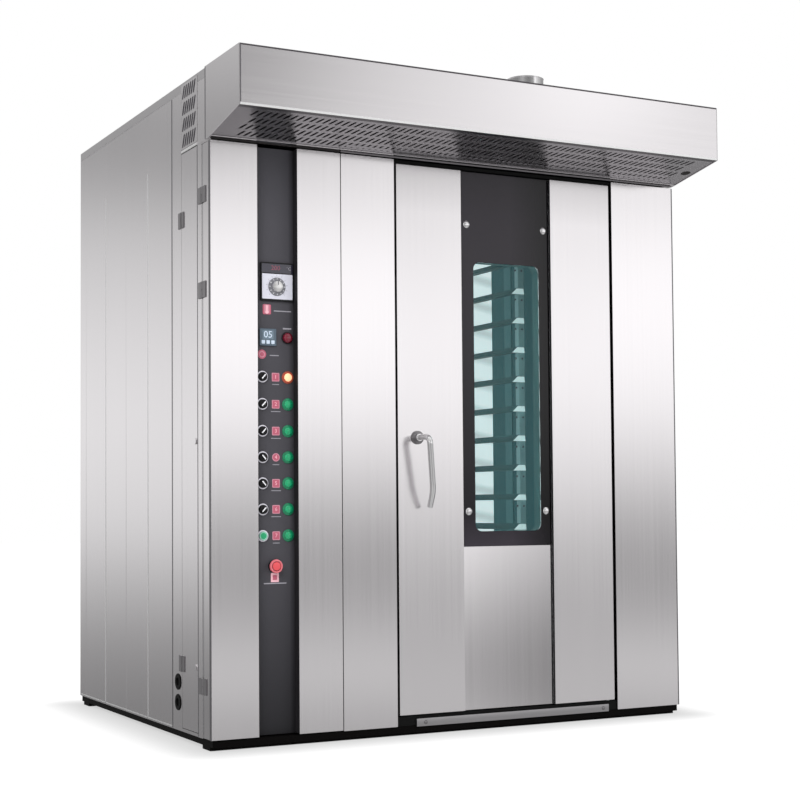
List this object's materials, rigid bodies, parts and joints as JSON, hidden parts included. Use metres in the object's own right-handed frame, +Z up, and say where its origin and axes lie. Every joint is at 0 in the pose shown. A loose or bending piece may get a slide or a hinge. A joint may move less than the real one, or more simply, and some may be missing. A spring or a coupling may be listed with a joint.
{
  "type": "rotating rack oven",
  "caption": "Free-standing stainless rotating rack oven with one wide glazed door, a vent hood, a control door and a tray rack that turns inside.",
  "frame": {"origin": "on the floor under the middle of the oven's overall box, hood included", "axes": "+X to the right as seen from the front, +Y to the rear, +Z up"},
  "size_m": [1.848, 1.72, 2.25],
  "materials": {
    "stainless_panel": "brushed stainless sheet, satin",
    "stainless_inner": "plain stainless sheet inside the chamber",
    "black_paint": "satin black",
    "fascia_grey": "dark grey panel film",
    "black_glass": "black-bordered glass with a clear window",
    "clear_glass": "clear heat-resistant glass",
    "silicone_seal": "dark silicone",
    "polished_steel": "polished tube",
    "black_plastic": "black moulded",
    "controller_white": "pale moulded housing",
    "green_cap": "green translucent cap",
    "red_cap": "red moulded cap",
    "galvanised_steel": "galvanised",
    "motor_grey": "grey motor paint",
    "caster_tread": "heat-resistant tread"
  },
  "bodies": {
    "root": {"base_frame": "black_paint", "threshold_bar": "stainless_panel", "left_front_post": "stainless_panel", "left_mid_post": "stainless_panel", "left_cladding": "stainless_panel", "right_cladding": "stainless_panel", "rear_cladding": "stainless_panel", "roof_panel": "stainless_panel", "louver_panel": "stainless_panel", "front_panel_left": "stainless_panel", "front_panel_right": "stainless_panel", "hood_shell": "stainless_panel", "hood_end_left": "stainless_panel", "hood_end_right": "stainless_panel", "hood_grille": "stainless_panel", "exhaust_collar": "stainless_panel", "door_surround": "black_paint", "chamber_floor": "stainless_inner", "chamber_ceiling": "stainless_inner", "chamber_left_wall": "stainless_inner", "chamber_right_wall": "stainless_inner", "chamber_rear_wall": "stainless_inner", "heater_bank": "galvanised_steel", "rack_gearmotor": "motor_grey", "fan_motor": "motor_grey", "electrical_plate": "galvanised_steel"},
    "door": {"door_core": "stainless_panel", "door_skin_left": "stainless_panel", "door_skin_right": "stainless_panel", "door_kick_panel": "stainless_panel", "window_panel": "black_glass", "inner_glass": "clear_glass", "door_gasket": "silicone_seal", "handle_rose": "polished_steel"},
    "handle": {"door_handle": "polished_steel"},
    "control_door": {"control_door": "stainless_panel", "control_fascia": "fascia_grey", "temp_controller": "controller_white"},
    "temp_dial": {"temp_dial": "black_plastic"},
    "selector_1": {"selector_1": "black_plastic"},
    "selector_2": {"selector_2": "black_plastic"},
    "selector_3": {"selector_3": "black_plastic"},
    "selector_4": {"selector_4": "black_plastic"},
    "selector_5": {"selector_5": "black_plastic"},
    "selector_6": {"selector_6": "black_plastic"},
    "push_button": {"push_button": "green_cap"},
    "emergency_stop": {"emergency_stop": "red_cap"},
    "service_door": {"service_door": "stainless_panel"},
    "rack": {"drive_hook": "galvanised_steel", "rack_left_ladder": "stainless_inner", "rack_right_ladder": "stainless_inner", "rack_top_frame": "stainless_inner", "rack_base_frame": "stainless_inner"},
    "caster_left": {"caster_fork_left": "galvanised_steel"},
    "caster_right": {"caster_fork_right": "galvanised_steel"},
    "wheel_front_left": {"caster_wheel_front_left": "caster_tread"},
    "wheel_front_right": {"caster_wheel_front_right": "caster_tread"},
    "wheel_rear_left": {"caster_wheel_rear_left": "caster_tread"},
    "wheel_rear_right": {"caster_wheel_rear_right": "caster_tread"},
    "fan": {"fan_wheel": "galvanised_steel"}
  },
  "joints": [
    {"name": "door_hinge", "type": "hinge", "parent": "root", "child": "door", "pos_m": [0.612, -0.576, 1], "axis": [0, 0, 1], "range_deg": [0, 110]},
    {"name": "handle_turn", "type": "hinge", "parent": "door", "child": "handle", "pos_m": [-0.172, -0.596, 1.007], "axis": [0, -1, 0], "range_deg": [0, 90]},
    {"name": "control_door_hinge", "type": "hinge", "parent": "root", "child": "control_door", "pos_m": [-0.918, -0.522, 1], "axis": [0, 0, -1], "range_deg": [0, 110]},
    {"name": "service_door_hinge", "type": "hinge", "parent": "root", "child": "service_door", "pos_m": [-0.921, -0.325, 1], "axis": [0, 0, -1], "range_deg": [0, 110]},
    {"name": "rack_turn", "type": "hinge", "parent": "root", "child": "rack", "pos_m": [0.192, 0.004, 1.84], "axis": [0, 0, 1], "continuous": true},
    {"name": "fan_spin", "type": "hinge", "parent": "root", "child": "fan", "pos_m": [0.192, 0.654, 1.76], "axis": [0, 0, 1], "continuous": true},
    {"name": "temp_dial_turn", "type": "hinge", "parent": "control_door", "child": "temp_dial", "pos_m": [-0.677, -0.57, 1.497], "axis": [0, 1, 0], "range_deg": [0, 270]},
    {"name": "selector_1_turn", "type": "hinge", "parent": "control_door", "child": "selector_1", "pos_m": [-0.728, -0.57, 1.2], "axis": [0, 1, 0], "range_deg": [-90, 0]},
    {"name": "selector_2_turn", "type": "hinge", "parent": "control_door", "child": "selector_2", "pos_m": [-0.728, -0.57, 1.111], "axis": [0, 1, 0], "range_deg": [-90, 0]},
    {"name": "selector_3_turn", "type": "hinge", "parent": "control_door", "child": "selector_3", "pos_m": [-0.728, -0.57, 1.023], "axis": [0, 1, 0], "range_deg": [-90, 0]},
    {"name": "selector_4_turn", "type": "hinge", "parent": "control_door", "child": "selector_4", "pos_m": [-0.728, -0.57, 0.937], "axis": [0, 1, 0], "range_deg": [0, 90]},
    {"name": "selector_5_turn", "type": "hinge", "parent": "control_door", "child": "selector_5", "pos_m": [-0.728, -0.57, 0.852], "axis": [0, 1, 0], "range_deg": [0, 90]},
    {"name": "selector_6_turn", "type": "hinge", "parent": "control_door", "child": "selector_6", "pos_m": [-0.728, -0.57, 0.767], "axis": [0, 1, 0], "range_deg": [-90, 0]},
    {"name": "push_button_press", "type": "slide", "parent": "control_door", "child": "push_button", "axis": [0, 1, 0], "range_m": [0, 0.004], "stiffness_N_per_m": 300, "springref_m": -0.002},
    {"name": "emergency_stop_press", "type": "slide", "parent": "control_door", "child": "emergency_stop", "axis": [0, 1, 0], "range_m": [0, 0.004]},
    {"name": "caster_left_swivel", "type": "hinge", "parent": "rack", "child": "caster_left", "pos_m": [-0.063, -0.181, 0.188], "axis": [0, 0, 1], "continuous": true},
    {"name": "wheel_front_left_spin", "type": "hinge", "parent": "caster_left", "child": "wheel_front_left", "pos_m": [-0.063, -0.156, 0.128], "axis": [1, 0, 0], "continuous": true},
    {"name": "wheel_rear_left_spin", "type": "hinge", "parent": "rack", "child": "wheel_rear_left", "pos_m": [-0.063, 0.189, 0.128], "axis": [1, 0, 0], "continuous": true},
    {"name": "caster_right_swivel", "type": "hinge", "parent": "rack", "child": "caster_right", "pos_m": [0.447, -0.181, 0.188], "axis": [0, 0, 1], "continuous": true},
    {"name": "wheel_front_right_spin", "type": "hinge", "parent": "caster_right", "child": "wheel_front_right", "pos_m": [0.447, -0.156, 0.128], "axis": [1, 0, 0], "continuous": true},
    {"name": "wheel_rear_right_spin", "type": "hinge", "parent": "rack", "child": "wheel_rear_right", "pos_m": [0.447, 0.189, 0.128], "axis": [1, 0, 0], "continuous": true}
  ]
}
